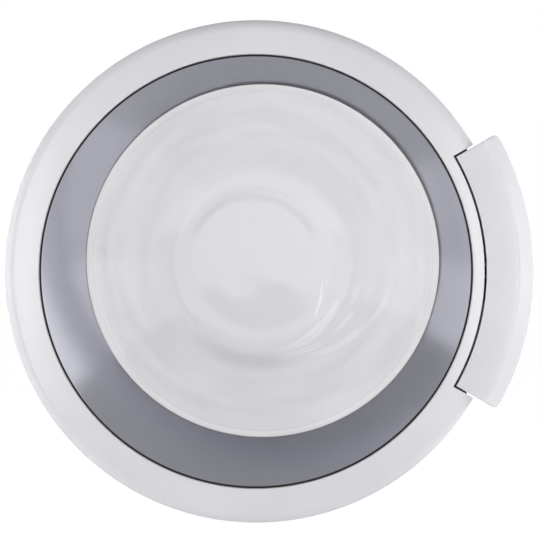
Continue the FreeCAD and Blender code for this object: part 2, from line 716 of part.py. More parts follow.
hinge_bracket = new_body("hinge_bracket", 0.0, 0.0)
plate = front(hinge_bracket)
half_width = s.plate_width / 2
half_height = s.plate_height / 2
corner = s.plate_corner
outline(plate, [
    (-half_width, -(half_height - corner), corner), (corner - half_width, -half_height),
    (half_width - corner, -half_height, corner), (half_width, -(half_height - corner)),
    (half_width, half_height - corner, corner), (half_width - corner, half_height),
    (corner - half_width, half_height, corner), (-half_width, half_height - corner)])
for level in (s.mount_spacing / 2, -(s.mount_spacing / 2)):
    circle(plate, 0.0, level, s.mount_hole_radius)
pad(hinge_bracket, plate, s.plate_wall)

neck_left = hinge_x + s.neck_offset
neck_right = neck_left + s.neck_width
arm_front = hinge_y - s.arm_half
arm_back = hinge_y + s.arm_half
arm = plan(hinge_bracket, arm_inner)
outline(arm, [
    (hinge_x, arm_front),
    (neck_right - s.neck_corner, arm_front, s.neck_corner),
    (neck_right, arm_front + s.neck_corner),
    (neck_right, -(s.plate_wall / 2)),
    (neck_left, -(s.plate_wall / 2)),
    (neck_left, arm_back + s.neck_hollow, s.neck_hollow),
    (neck_left - s.neck_hollow, arm_back),
    (hinge_x, arm_back, s.arm_half),
    (hinge_x - s.arm_half, hinge_y, s.arm_half)])
circle(arm, hinge_x, hinge_y, s.hinge_pin_radius)
mirror(hinge_bracket, pad(hinge_bracket, arm, s.arm_wall))


# Pins: plain upright steel pins

def upright_pin(label, x, y, radius, half_length):
    pin = doc.addObject("Part::Cylinder", label)
    pin.Label = label
    bind(pin, "Radius", radius)
    bind(pin, "Height", 2 * half_length)
    bind(pin, "Placement.Base.x", x)
    bind(pin, "Placement.Base.y", y)
    bind(pin, "Placement.Base.z", -half_length)
    return pin


hinge_pin = upright_pin("hinge_pin", hinge_x, hinge_y, s.hinge_pin_radius, knuckle_end + s.pin_end)
handle_pin = upright_pin("handle_pin", door_x + pivot_x, door_y + pivot_y, s.handle_pin_radius,
                         lug_outer + s.pin_end)
latch_pin = upright_pin("latch_pin", door_x + latch_x, door_y + latch_y, s.latch_pin_radius,
                        cheek_outer + s.pin_end)


# Flanged bushes in the leaf's knuckles

def flanged_bush(label, side):
    body = new_body(label, hinge_x, hinge_y)
    bore = s.hinge_pin_radius + s.bush_clearance
    low = side * (knuckle_start - s.bush_flange_wall)
    seat = side * knuckle_start
    high = side * knuckle_end
    turn(body, outline(front(body), [
        (bore, low), (knuckle_radius, low), (knuckle_radius, seat),
        (knuckle_bore, seat), (knuckle_bore, high), (bore, high)]))
    return body


hinge_bush_upper = flanged_bush("hinge_bush_upper", 1)
hinge_bush_lower = flanged_bush("hinge_bush_lower", -1)


# Hinge leaf: plate screwed under the ring's face, with two knuckles above and below the arms

hinge_leaf = new_body("hinge_leaf", hinge_x, hinge_y)
leaf_plate = rectangle(plan(hinge_leaf), -s.leaf_outer, s.leaf_inner,
                       -(s.leaf_gap + s.leaf_wall), -s.leaf_gap)
pad(hinge_leaf, leaf_plate, s.leaf_height, both_ways=True)
knuckle = plan(hinge_leaf, knuckle_start)
outline(knuckle, [
    (knuckle_radius, -(s.leaf_gap + s.leaf_wall / 2)),
    (knuckle_radius, 0.0, knuckle_radius),
    (0.0, knuckle_radius, knuckle_radius),
    (-knuckle_radius, 0.0),
    (-s.leaf_outer, -(s.leaf_gap + s.leaf_wall / 2))])
circle(knuckle, 0.0, 0.0, knuckle_bore)
mirror(hinge_leaf, pad(hinge_leaf, knuckle, s.knuckle_length))
leaf_holes = front(hinge_leaf, -(s.leaf_gap + s.leaf_wall))
for level in (s.leaf_screw_half, -s.leaf_screw_half):
    hexagon(leaf_holes, s.leaf_screw_offset, level, s.leaf_screw_radius + s.screw_clearance)
pocket(hinge_leaf, leaf_holes, s.leaf_wall)


# Handle grip: white shell in the notch, flat face, sloping flank, hollow at the back for the fingers

handle_grip = new_body("handle_grip", door_x, door_y)
grip_cos = cosine(grip_half_angle)
grip_sin = sine(grip_half_angle)
pad(handle_grip, outline(front(handle_grip), [
    (grip_inner * grip_cos, grip_inner * grip_sin, -grip_inner),
    (grip_inner * grip_cos, -(grip_inner * grip_sin)),
    (grip_outer * grip_cos, -(grip_outer * grip_sin), grip_outer),
    (grip_outer * grip_cos, grip_outer * grip_sin)]), s.grip_depth, flip=True)


def outer_corner(edge):
    """A straight edge along the depth at the grip's outer radius."""
    ends = [vertex.Point for vertex in edge.Vertexes]
    return (isinstance(edge.Curve, Part.Line)
            and abs(abs(ends[0].y - ends[1].y) - s.grip_depth.value) < 1e-4
            and abs(math.hypot(ends[0].x, ends[0].z) - grip_outer.value) < 1e-3)


round_edges(handle_grip, s.grip_corner, outer_corner)
flat_end = grip_inner + s.grip_flat
past_grip = grip_outer + s.grip_corner
turn(handle_grip, outline(plan(handle_grip), [
    (flat_end, 0.0),
    (grip_outer, s.flank_drop),
    (past_grip, s.flank_drop),
    (past_grip, -s.grip_corner),
    (flat_end, -s.grip_corner)]), 4 * grip_half_angle, cuts=True)
end_wall_angle = s.grip_wall / grip_inner * math.degrees(1)
turn(handle_grip, outline(plan(handle_grip), [
    (grip_inner + s.grip_wall, s.grip_skin),
    (flat_end - s.grip_wall / 2, s.grip_skin),
    (grip_outer - s.grip_wall, s.flank_drop + s.grip_wall / 2),
    (grip_outer - s.grip_wall, s.grip_depth + s.grip_wall),
    (grip_inner + s.grip_wall, s.grip_depth + s.grip_wall)]),
    2 * (grip_half_angle - end_wall_angle), cuts=True)

grip_bosses = front(handle_grip, s.grip_skin / 2)
grip_pilots = front(handle_grip, lever_front - (s.lever_screw_length - s.lever_wall))
for level in (s.lever_screw_half, -s.lever_screw_half):
    hexagon(grip_bosses, lever_screw_x, level, s.grip_boss_radius)
    hexagon(grip_pilots, lever_screw_x, level, s.lever_screw_radius)
pad(handle_grip, grip_bosses, lever_front - s.grip_skin / 2, flip=True)
pocket(handle_grip, grip_pilots, s.lever_screw_length - s.lever_wall)
lug_room = lug_outer + s.lug_window
lug_opening = rectangle(front(handle_grip, s.grip_skin), pivot_x,
                        grip_inner + s.grip_wall + s.handle_gap / 4, -lug_room, lug_room)
pocket(handle_grip, lug_opening, s.grip_depth)


# Handle lever: plate in the grip with two lugs on the pin and the finger that pushes the hook

handle_lever = new_body("handle_lever", door_x, door_y)
lever_plate = rectangle(front(handle_lever, lever_front), lever_left, lever_left + s.lever_width,
                        -(s.lever_height / 2), s.lever_height / 2)
for level in (s.lever_screw_half, -s.lever_screw_half):
    hexagon(lever_plate, lever_screw_x, level, s.lever_screw_radius + s.screw_clearance / 3)
pad(handle_lever, lever_plate, s.lever_wall, flip=True)
lug = plan(handle_lever, lug_inner)
lug_top = pivot_y - s.lug_radius
lug_low = pivot_y + s.lug_radius
lug_end = lever_left + s.lug_radius
outline(lug, [
    (pivot_x, lug_top),
    (lug_end, lever_front),
    (lug_end, lever_back),
    (lever_left - s.lug_radius, lever_back),
    (pivot_x, lug_low, s.lug_radius),
    (pivot_x - s.lug_radius, pivot_y, s.lug_radius)])
circle(lug, pivot_x, pivot_y, s.handle_pin_radius + s.pin_clearance)
mirror(handle_lever, pad(handle_lever, lug, s.lug_wall))
finger_right = pivot_x + s.finger_offset
finger_left = finger_right - s.finger_wall
finger_tip = pivot_y + s.finger_reach
pad(handle_lever, outline(plan(handle_lever), [
    (finger_left, lever_front),
    (finger_right + s.finger_wall, lever_front),
    (finger_right + s.finger_wall, lever_back),
    (finger_right, lever_back + s.finger_wall),
    (finger_right, finger_tip),
    (finger_left, finger_tip)]), s.finger_width, both_ways=True)


# Latch carrier: moulded block on the rear frame with two cheeks that hold both pins

latch_carrier = new_body("latch_carrier", door_x, door_y)
base = rectangle(front(latch_carrier, base_front), spine_left, spine_left + s.carrier_width,
                 -(s.carrier_height / 2), s.carrier_height / 2)
rectangle(base, latch_x - s.hook_slot_left, latch_x + s.hook_slot_right,
          -s.hook_slot_half, s.hook_slot_half)
pad(latch_carrier, base, s.carrier_base_wall, flip=True)
cheek = plan(latch_carrier, cheek_inner)
cheek_right = latch_x + s.hook_eye
spine_front = pivot_y + s.spine_start
outline(cheek, [
    (spine_left, plate_front),
    (spine_left, spine_front),
    (pivot_x - s.lug_radius, pivot_y, s.lug_radius),
    (pivot_x, lug_top, s.lug_radius),
    (pivot_x + s.lug_radius, pivot_y),
    (pivot_x + s.lug_radius, finger_tip - s.lug_radius),
    (cheek_right, latch_y - s.hook_eye),
    (cheek_right, plate_front)])
circle(cheek, pivot_x, pivot_y, s.handle_pin_radius)
circle(cheek, latch_x, latch_y, s.latch_pin_radius)
mirror(latch_carrier, pad(latch_carrier, cheek, s.cheek_wall))
pad(latch_carrier, rectangle(plan(latch_carrier), spine_left, spine_right, spine_front, plate_front),
    2 * cheek_outer, both_ways=True)
bar_left = spine_right + 2 * (s.wire_radius + s.spine_gap) + s.spine_gap
bar_front = pivot_y + s.bar_depth
pad(latch_carrier, rectangle(plan(latch_carrier), bar_left, bar_left + s.bar_wall, bar_front,
                             bar_front + s.bar_wall), 2 * cheek_inner + s.cheek_wall, both_ways=True)
carrier_pilots = front(latch_carrier, base_front)
for level in (s.carrier_screw_half, -s.carrier_screw_half):
    hexagon(carrier_pilots, carrier_screw_x, level, s.frame_screw_radius)
pocket(latch_carrier, carrier_pilots, s.carrier_base_wall)


# Latch hook: tail before the finger, eye on the pin, shank through the rear frame, catch and nose

latch_hook = new_body("latch_hook", door_x, door_y)
tail_left = finger_right + s.push_gap
tail_right = tail_left + s.tail_wall
tail_tip = latch_y - s.tail_reach
shank_right = latch_x + s.shank_right
shank_left = latch_x - s.shank_left
catch_front = door_depth + s.catch_depth
catch_right = shank_right + s.catch_reach
nose_tip = catch_front + s.nose_length
eye_front = latch_y - s.hook_eye
stud_x = latch_x + latch_coil_radius - s.wire_radius - s.stud_radius - s.stud_gap
stud_y = eye_front - s.stud_radius + s.push_gap
tail_root = eye_front - 2 * s.stud_radius
pad(latch_hook, outline(plan(latch_hook), [
    (tail_left, tail_tip),
    (tail_right, tail_tip),
    (tail_right, eye_front),
    (shank_right, latch_y + s.hook_eye),
    (shank_right, catch_front),
    (catch_right, catch_front - s.push_gap),
    (catch_right, catch_front + s.tail_wall),
    (latch_x, nose_tip),
    (shank_left + s.tail_wall / 2, nose_tip),
    (shank_left, nose_tip - s.tail_wall),
    (shank_left, latch_y + s.hook_eye),
    (latch_x - s.hook_eye, latch_y, s.hook_eye),
    (latch_x, eye_front),
    (latch_x, tail_root),
    (tail_left, tail_root - s.push_gap)]), s.hook_width, both_ways=True)
pocket(latch_hook, circle(plan(latch_hook), latch_x, latch_y, s.latch_pin_radius + s.pin_clearance),
       2 * s.hook_width, both_ways=True)
pad(latch_hook, circle(plan(latch_hook, s.hook_width / 4), stud_x, stud_y, s.stud_radius),
    s.hook_width / 4 + s.stud_height)


# Springs: torsion coils round the two pins, of square wire, with a straight leg off each end

def carried(path, corners):
    """A section carried along a line of straight runs, mitred where two of them meet."""
    runs = [(end - start).normalize() for start, end in zip(path, path[1:])]
    sections = [corners]
    for index, run in enumerate(runs):
        normal = run + runs[min(index + 1, len(runs) - 1)]
        meeting = path[index + 1]
        sections.append([corner + run * ((meeting - corner).dot(normal) / run.dot(normal))
                         for corner in sections[-1]])
    loops = [sections[0], sections[-1][::-1]]
    for start, end in zip(sections, sections[1:]):
        for side in range(len(corners)):
            beside = side - 1
            loops.append([start[side], start[beside], end[beside], end[side]])
    faces = [Part.Face(Part.makePolygon(loop + loop[:1])) for loop in loops]
    skin = Part.makeCompound(faces)
    skin.sewShape()
    return Part.Solid(Part.Shell(skin.Faces))


def torsion_spring(label, radius, x, y, low, sense, first_leg, last_leg):
    """A coil about the pin at (x, y) whose legs run off it at a tangent to two points beside it.

    The coil turns left for a sense of 1 and right for -1, eight straight runs to the turn."""
    targets = [Vector(leg[0].value - x.value, leg[1].value - y.value, 0) for leg in (first_leg, last_leg)]
    lean = [math.atan2(target.y, target.x) for target in targets]
    open_angle = [math.acos(radius.value / target.Length) for target in targets]
    begin = lean[0] + sense * open_angle[0]
    finish = lean[1] - sense * open_angle[1]
    sweep = (sense * (finish - begin)) % (2 * math.pi) + 2 * math.pi * s.spring_turns.value
    runs = math.ceil(sweep / (math.pi / 4))
    path = [targets[0]]
    for step in range(runs + 1):
        angle = begin + sense * sweep * step / runs
        height = s.spring_pitch.value * sweep / (2 * math.pi) * step / runs
        path.append(Vector(radius.value * math.cos(angle), radius.value * math.sin(angle), height))
    path.append(targets[1] + Vector(0, 0, path[-1].z))
    path = [point + Vector(x.value, y.value, low.value) for point in path]
    half = s.wire_radius.value
    side = (path[1] - path[0]).cross(Vector(0, 0, 1)).normalize() * half
    rise = side.cross(path[1] - path[0]).normalize() * half
    corners = [path[0] + side + rise, path[0] - side + rise, path[0] - side - rise, path[0] + side - rise]
    return feature_group(label, [carried(path, corners)], door_x, door_y)


spring_low = s.hook_width / 2 + s.spring_side_gap
handle_spring = torsion_spring(
    "handle_spring", coil_radius, pivot_x, pivot_y, spring_low, -1,
    (lug_end, lever_front - s.wire_radius - s.spine_gap),
    (pivot_x - coil_radius, bar_front + s.bar_wall))
latch_spring = torsion_spring(
    "latch_spring", latch_coil_radius, latch_x, latch_y, spring_low, 1,
    (latch_x + latch_coil_radius, tail_root),
    (spine_right + s.wire_radius + s.spine_gap, base_front - 3 * s.wire_radius))


# Checks, then one file for each piece

PIECES = [
    front_frame, bezel_ring, glass_bowl, rear_frame, frame_screws,
    hinge_bracket, hinge_pin, hinge_leaf, hinge_bush_upper, hinge_bush_lower, hinge_leaf_screws,
    handle_grip, handle_lever, handle_screws, handle_pin, handle_spring,
    latch_carrier, carrier_screws, latch_hook, latch_pin, latch_spring]

doc.recompute()
for item in doc.Objects:
    if "Invalid" in item.State or "Error" in item.State:
        raise RuntimeError(f"{item.Name} is {item.State}")
for piece in PIECES:
    if piece.Shape.isNull() or not piece.Shape.isValid():
        raise RuntimeError(f"{piece.Label} has no valid shape")

os.makedirs("parts", exist_ok=True)
for piece in PIECES:
    piece.Shape.exportStep(os.path.join("parts", f"{piece.Label}.step"))
    print(f"{piece.Label}: {len(piece.Shape.Solids)} solids, {piece.Shape.Volume / 1000:.2f} cm3")
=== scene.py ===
import math

import bmesh
import bpy
import numpy as np
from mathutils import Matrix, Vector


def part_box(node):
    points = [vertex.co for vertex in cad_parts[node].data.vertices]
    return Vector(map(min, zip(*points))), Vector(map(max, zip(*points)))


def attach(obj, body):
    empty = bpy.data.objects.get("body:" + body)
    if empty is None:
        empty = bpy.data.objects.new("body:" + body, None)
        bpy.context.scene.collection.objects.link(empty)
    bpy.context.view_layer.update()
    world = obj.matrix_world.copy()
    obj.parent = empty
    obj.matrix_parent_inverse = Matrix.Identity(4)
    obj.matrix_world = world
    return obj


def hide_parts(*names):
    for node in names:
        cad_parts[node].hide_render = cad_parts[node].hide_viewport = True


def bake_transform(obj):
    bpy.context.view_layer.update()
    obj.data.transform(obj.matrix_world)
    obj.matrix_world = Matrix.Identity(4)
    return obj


# Door of a front-loading washing machine, closed and seen from straight in front.
# Lengths in the sections are millimetres. Around the door's axis, r is the distance from it, t the
# depth behind the door's front plane, and angles are degrees from the middle of the handle, upwards.

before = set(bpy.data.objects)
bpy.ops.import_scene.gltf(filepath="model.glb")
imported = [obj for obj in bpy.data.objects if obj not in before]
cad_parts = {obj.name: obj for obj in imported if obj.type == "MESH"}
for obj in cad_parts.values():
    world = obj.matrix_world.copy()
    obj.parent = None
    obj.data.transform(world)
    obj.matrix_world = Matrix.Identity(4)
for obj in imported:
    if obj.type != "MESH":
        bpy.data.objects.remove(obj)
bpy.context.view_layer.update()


# Front ring: the door's white outer frame, injection moulded in ABS, with a sloping face, a soft
# outer edge and a side wall. Six posts behind the face take the screws of the rear frame, the handle
# has its notch on the right, and the hinge arms come in through a slot in the wall on the left.

DOOR_X = 195.0
FRONT_Y = -52.0
RING_EDGE = 225.0
RING_INSIDE = 193.0
FACE_BACK = 5.1
NOTCH_END = 30.3


def rounded(corners, steps=8):
    """An outline with its corners eased: at a corner C with a cut c, A and B lie c back along the two
    sides, and the corner becomes the curve (1-s)^2 A + 2s(1-s) C + s^2 B for s from 0 to 1."""
    corners = np.array(corners, float)
    middle = corners[:, :2]
    back = np.roll(middle, 1, axis=0) - middle
    ahead = np.roll(middle, -1, axis=0) - middle
    cut = corners[:, 2:3]
    start = middle + back / np.linalg.norm(back, axis=1, keepdims=True) * cut
    end = middle + ahead / np.linalg.norm(ahead, axis=1, keepdims=True) * cut
    s = np.linspace(0.0, 1.0, steps)[None, :, None]
    curve = (1 - s) ** 2 * start[:, None] + 2 * s * (1 - s) * middle[:, None] + s ** 2 * end[:, None]
    return curve.reshape(-1, 2)


def on_door(r, t, degrees, middle_x=0.0, middle_z=0.0):
    """Points of the door: x = r cos a and z = r sin a about the ring's axis, or about a middle beside
    it, at depth t."""
    angle = np.radians(degrees)
    x = DOOR_X + middle_x + r * np.cos(angle)
    z = middle_z + r * np.sin(angle)
    return np.stack(np.broadcast_arrays(x, FRONT_Y + t, z), axis=-1)


def round_the_door(outline, *spans):
    """An outline carried round the door: each span goes from one angle to the next in so many columns,
    cuts t off at a depth, and follows the one before."""
    columns = []
    for start, end, count, deepest in spans:
        degrees = np.linspace(start, end, count)[:, None]
        columns.append(on_door(outline[None, :, 0], np.minimum(outline[None, :, 1], deepest), degrees))
    return np.concatenate(columns)


def skin(name, *grids):
    """One mesh from grids of points: a quad between each four neighbours, closed along the outline and,
    where the last column meets the first, around. An open run of columns gets a flat face at each end."""
    points = []
    faces = []
    base = 0
    for grid, closed in grids:
        count, width = grid.shape[:2]
        column = np.arange(count if closed else count - 1)[:, None]
        row = np.arange(width)[None, :]
        beside = (column + 1) % count
        above = (row + 1) % width
        quads = np.stack([column * width + row, column * width + above,
                          beside * width + above, beside * width + row], axis=-1)
        faces += (quads.reshape(-1, 4) + base).tolist()
        if not closed:
            faces.append((np.arange(width)[::-1] + base).tolist())
            faces.append((np.arange(width) + (count - 1) * width + base).tolist())
        points.append(grid.reshape(-1, 3))
        base += count * width
    mesh = bpy.data.meshes.new(name)
    mesh.from_pydata(np.concatenate(points) / 1000.0, [], faces)
    return tidied(mesh)


def tidied(mesh):
    """The mesh with doubles merged, collapsed faces dropped, faces outwards and sharp edges kept sharp."""
    work = bmesh.new()
    work.from_mesh(mesh)
    bmesh.ops.remove_doubles(work, verts=work.verts, dist=2e-6)
    bmesh.ops.dissolve_degenerate(work, edges=work.edges, dist=1e-6)
    loose = [edge for edge in work.edges if not edge.link_faces]
    bmesh.ops.delete(work, geom=loose, context="EDGES")
    bmesh.ops.recalc_face_normals(work, faces=work.faces)
    work.to_mesh(mesh)
    work.free()
    mesh.shade_smooth()
    mesh.set_sharp_from_angle(angle=math.radians(34))
    return mesh


def block(x0, x1, z0, z1, t0, t1):
    """A square post as a grid: its outline in x and z, with eased corners, at the depths t0 and t1."""
    outline = rounded([(x0, z0, 0.8), (x1, z0, 0.8), (x1, z1, 0.8), (x0, z1, 0.8)], 4)
    depth = np.array([t0, t1])[:, None]
    x = DOOR_X + outline[None, :, 0]
    z = outline[None, :, 1]
    return np.stack(np.broadcast_arrays(x, FRONT_Y + depth, z), axis=-1), False


class Wire:
    """A shader socket. Sums and products of wires and numbers add Math nodes to the same tree."""

    def __init__(self, tree, socket=None):
        self.tree = tree
        self.socket = socket

    def node(self, kind, settings, sockets, output=0):
        """A new node: its settings first, then values or wires on its sockets."""
        made = self.tree.nodes.new("ShaderNode" + kind)
        for name, value in settings.items():
            setattr(made, name, value)
        for name, value in sockets.items():
            if isinstance(value, Wire):
                self.tree.links.new(value.socket, made.inputs[name])
            else:
                made.inputs[name].default_value = value
        return Wire(self.tree, made.outputs[output])

    def math(self, operation, *values, clamp=False):
        """A Math node on these values."""
        sockets = dict(enumerate(values))
        return self.node("Math", {"operation": operation, "use_clamp": clamp}, sockets)

    def __add__(self, other):
        return self.math("ADD", self, other)

    __radd__ = __add__

    def __sub__(self, other):
        return self.math("SUBTRACT", self, other)

    def __rsub__(self, other):
        return self.math("SUBTRACT", other, self)

    def __mul__(self, other):
        return self.math("MULTIPLY", self, other)

    __rmul__ = __mul__

    def axis(self, letter):
        """One of these coordinates."""
        return self.node("SeparateXYZ", {}, {0: self}, letter)

    def noise(self, scale, detail=2.0, rough=0.5):
        """Noise over these coordinates, from 0 to 1."""
        return self.node("TexNoise", {}, {
            "Vector": self, "Scale": scale, "Detail": detail, "Roughness": rough})

    def between(self, low, high):
        """0 below the low value, 1 above the high one and a smooth step between."""
        return self.node("MapRange", {"interpolation_type": "SMOOTHSTEP"},
                         {"Value": self, "From Min": low, "From Max": high})

    def near(self, middle, inner, outer):
        """1 where this is within the inner distance of a middle, 0 past the outer one, smooth between."""
        return 1 - self.math("ABSOLUTE", self - middle).between(inner, outer)

    def tint(self, first, second):
        """The first colour where this is 0 and the second where it is 1."""
        return self.node("Mix", {"data_type": "RGBA"}, {0: self, 6: first, 7: second}, 2)

    def bump(self, strength, distance):
        """A surface whose height is this value times the distance."""
        return self.node("Bump", {}, {"Height": self, "Strength": strength, "Distance": distance})

    def cover(self, output):
        """This shader on the surface that the output node stands for."""
        self.tree.links.new(self.socket, output.inputs["Surface"])


def shades(colour, drift):
    """Two colours a little under and over the one given."""
    low = tuple(channel * (1 - drift) for channel in colour) + (1.0,)
    high = tuple(min(1.0, channel * (1 + drift)) for channel in colour) + (1.0,)
    return low, high


def new_finish(name):
    """An empty material, a wire on its object coordinates and its output node."""
    material = bpy.data.materials.new(name)
    material.use_nodes = True
    material.node_tree.nodes.clear()
    tree = material.node_tree
    place = Wire(tree).node("TexCoord", {}, {}, "Object")
    return material, place, tree.nodes.new("ShaderNodeOutputMaterial")


def moulded(name, colour, roughness, drift=0.025, grain=0.00003):
    """Moulded plastic: slow flow marks drift the colour, fine noise varies the gloss, and the tool's
    surface leaves a fine grain."""
    material, place, output = new_finish(name)
    flow = place.noise(9.0, 3.0).between(0.3, 0.7)
    fine = place.noise(1400.0, 2.0)
    handling = place.noise(38.0, 4.0, 0.6)
    height = fine + 0.35 * place.noise(260.0)
    shader = place.node("BsdfPrincipled", {}, {
        "Base Color": flow.tint(*shades(colour, drift)),
        "Roughness": roughness + 0.05 * (handling - 0.5) + 0.05 * (fine - 0.5),
        "IOR": 1.5,
        "Normal": height.bump(0.35, grain)})
    shader.cover(output)
    return material


def add_piece(name, mesh, material, slot, body, *nodes):
    """A finished piece: its material, the record's slot, which is not used, the solids it stands for and
    the body it rides, or None for one that bends between two bodies."""
    piece = bpy.data.objects.new(name, mesh)
    bpy.context.scene.collection.objects.link(piece)
    mesh.materials.clear()
    mesh.materials.append(material)
    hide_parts(*nodes)
    if body:
        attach(piece, body)
    return piece


ring_face = [(RING_INSIDE, 0.0, 0.9), (219.0, 2.5, 4.5), (RING_EDGE, 8.5, 4.0), (RING_EDGE, 45.6, 0.8)]
ring_back = [(205.6, FACE_BACK, 0.2), (RING_INSIDE, FACE_BACK, 0.9)]
ring_section = rounded(ring_face + [
    (222.4, 45.6, 0.8), (222.4, 9.6, 1.2), (217.9, FACE_BACK, 1.2)] + ring_back)
ring_end_section = rounded(ring_face + [
    (205.6, 45.6, 0.8), (205.6, 30.0, 0.2), (205.6, 18.0, 0.2)] + ring_back)
ring_strip_section = rounded([
    (RING_INSIDE, 0.0, 0.9), (203.0, 1.0, 0.5), (203.0, 1.6, 0.05), (203.0, 2.0, 0.05),
    (203.0, 2.4, 0.05), (203.0, 2.8, 0.05), (203.0, 3.2, 0.05), (203.0, 3.6, 0.2),
    (RING_INSIDE, FACE_BACK, 0.9)])
WALL_BACK = 46.0
beside_hinge_plate = 37.0
at_hinge_arms = 18.8
ring_points = np.concatenate([
    round_the_door(ring_strip_section, (-NOTCH_END, NOTCH_END, 65, WALL_BACK)),
    round_the_door(ring_end_section, (NOTCH_END, 31.0, 3, WALL_BACK)),
    round_the_door(
        ring_section,
        (31.0, 166.4, 137, WALL_BACK),
        (166.4, 174.1, 9, beside_hinge_plate),
        (174.1, 185.9, 13, at_hinge_arms),
        (185.9, 193.6, 9, beside_hinge_plate),
        (193.6, 329.0, 137, WALL_BACK)),
    round_the_door(ring_end_section, (329.0, 360.0 - NOTCH_END, 3, WALL_BACK))])
screw_angles = np.radians([44.0, 98.0, 152.0, -44.0, -98.0, -152.0])
frame_screw_places = 207.0 * np.column_stack([np.cos(screw_angles), np.sin(screw_angles)])
leaf_screw_places = [(-203.0, 42.0), (-203.0, -42.0)]
ring_posts = [block(x - 4.0, x + 4.0, z - 4.0, z + 4.0, 2.9, 46.0) for x, z in frame_screw_places]
leaf_posts = [block(x - 4.4, x + 4.4, z - 4.4, z + 4.4, 2.0, 13.0) for x, z in leaf_screw_places]
white_moulding = moulded("white_moulding", (0.775, 0.767, 0.806), 0.26)
add_piece("front_ring", skin("front_ring", (ring_points, True), *ring_posts, *leaf_posts),
          white_moulding, "white_plastic", "door", "front_frame")


# Bezel: a deep grey ring that leads from the white frame down to the glass, moulded and lacquered in
# silver. Its flange lies behind the frame's face, which leaves a gap that painted shade on the flange
# makes dark, and the opening at its foot sits a little above and to the right of the ring's middle.

OPENING_X = 5.7
OPENING_Z = 9.9
BEZEL_FOOT = 48.0
bezel_section = rounded([
    (191.4, FACE_BACK, 0.7), (162.4, BEZEL_FOOT, 1.2), (165.6, BEZEL_FOOT, 0.4), (193.2, 7.1, 0.4),
    (196.0, 7.1, 0.4), (196.0, FACE_BACK, 0.4)])
whole_turn = np.linspace(0.0, 360.0, 257)[:, None]
bezel_depth = bezel_section[None, :, 1]
bezel_share = np.clip((bezel_depth - FACE_BACK) / (BEZEL_FOOT - FACE_BACK), 0.0, 1.0)
bezel_points = on_door(bezel_section[None, :, 0], bezel_depth, whole_turn,
                       bezel_share * OPENING_X, bezel_share * OPENING_Z)


def from_axis(place, middle_x, middle_z):
    """The x and z of a place from a line along y, in metres, and its distance from that line."""
    x = place.axis("X") - (DOOR_X + middle_x) / 1000
    z = place.axis("Z") - middle_z / 1000
    return x, z, place.math("SQRT", x * x + z * z)


def lacquered(name):
    """Silver lacquer: fine flakes vary colour and gloss. Past the ring's inner edge the flange is coloured
    near black, painted shade for the gap between the frame and the bezel."""
    material, place, output = new_finish(name)
    radius = from_axis(place, 0.0, 0.0)[2]
    # Painted shade: the flange past the ring's inner edge is near black, so that the gap reads as shadow.
    painted_gap_shade = radius.between(0.1912, 0.1916)
    flakes = place.noise(2200.0, 1.0)
    cloud = place.noise(7.0, 2.0).between(0.3, 0.7)
    low, high = shades((0.565, 0.570, 0.635), 0.03)
    dark = (0.015, 0.015, 0.017, 1.0)
    shader = place.node("BsdfPrincipled", {}, {
        "Base Color": painted_gap_shade.tint((0.75 * cloud + 0.25 * flakes).tint(low, high), dark),
        "Metallic": 0.7 - 0.7 * painted_gap_shade,
        "Roughness": 0.18 + 0.06 * (flakes - 0.5) + 0.4 * painted_gap_shade,
        "IOR": 1.45,
        "Normal": flakes.bump(0.25, 0.00001)})
    shader.cover(output)
    return material


bezel = add_piece(
    "bezel", skin("bezel", (bezel_points, True)), lacquered("grey_lacquer"), "grey_plastic", "door",
    "bezel_ring")


# Glass bowl: pressed soda-lime glass, a flat flange, a conical wall that leans into the drum and a flat
# nose. Pressing leaves soft waves in the wall, and washing a thin film with wiped streaks.

glass_section = rounded([
    (0.0, 138.0, 0.0), (70.8, 138.0, 0.0), (86.8, 138.0, 14.0), (97.23, 125.87, 0.0), (157.29, 56.03, 0.0),
    (159.9, 53.0, 2.5), (171.7, 53.0, 1.2), (171.7, 48.0, 1.2), (156.2, 48.0, 5.0), (151.64, 53.31, 0.0),
    (96.71, 117.21, 0.0), (84.0, 132.0, 17.0), (65.0, 132.0, 0.0), (0.0, 132.0, 0.0)], 16)
glass_points = on_door(glass_section[None, :, 0], glass_section[None, :, 1], whole_turn,
                       OPENING_X, OPENING_Z)


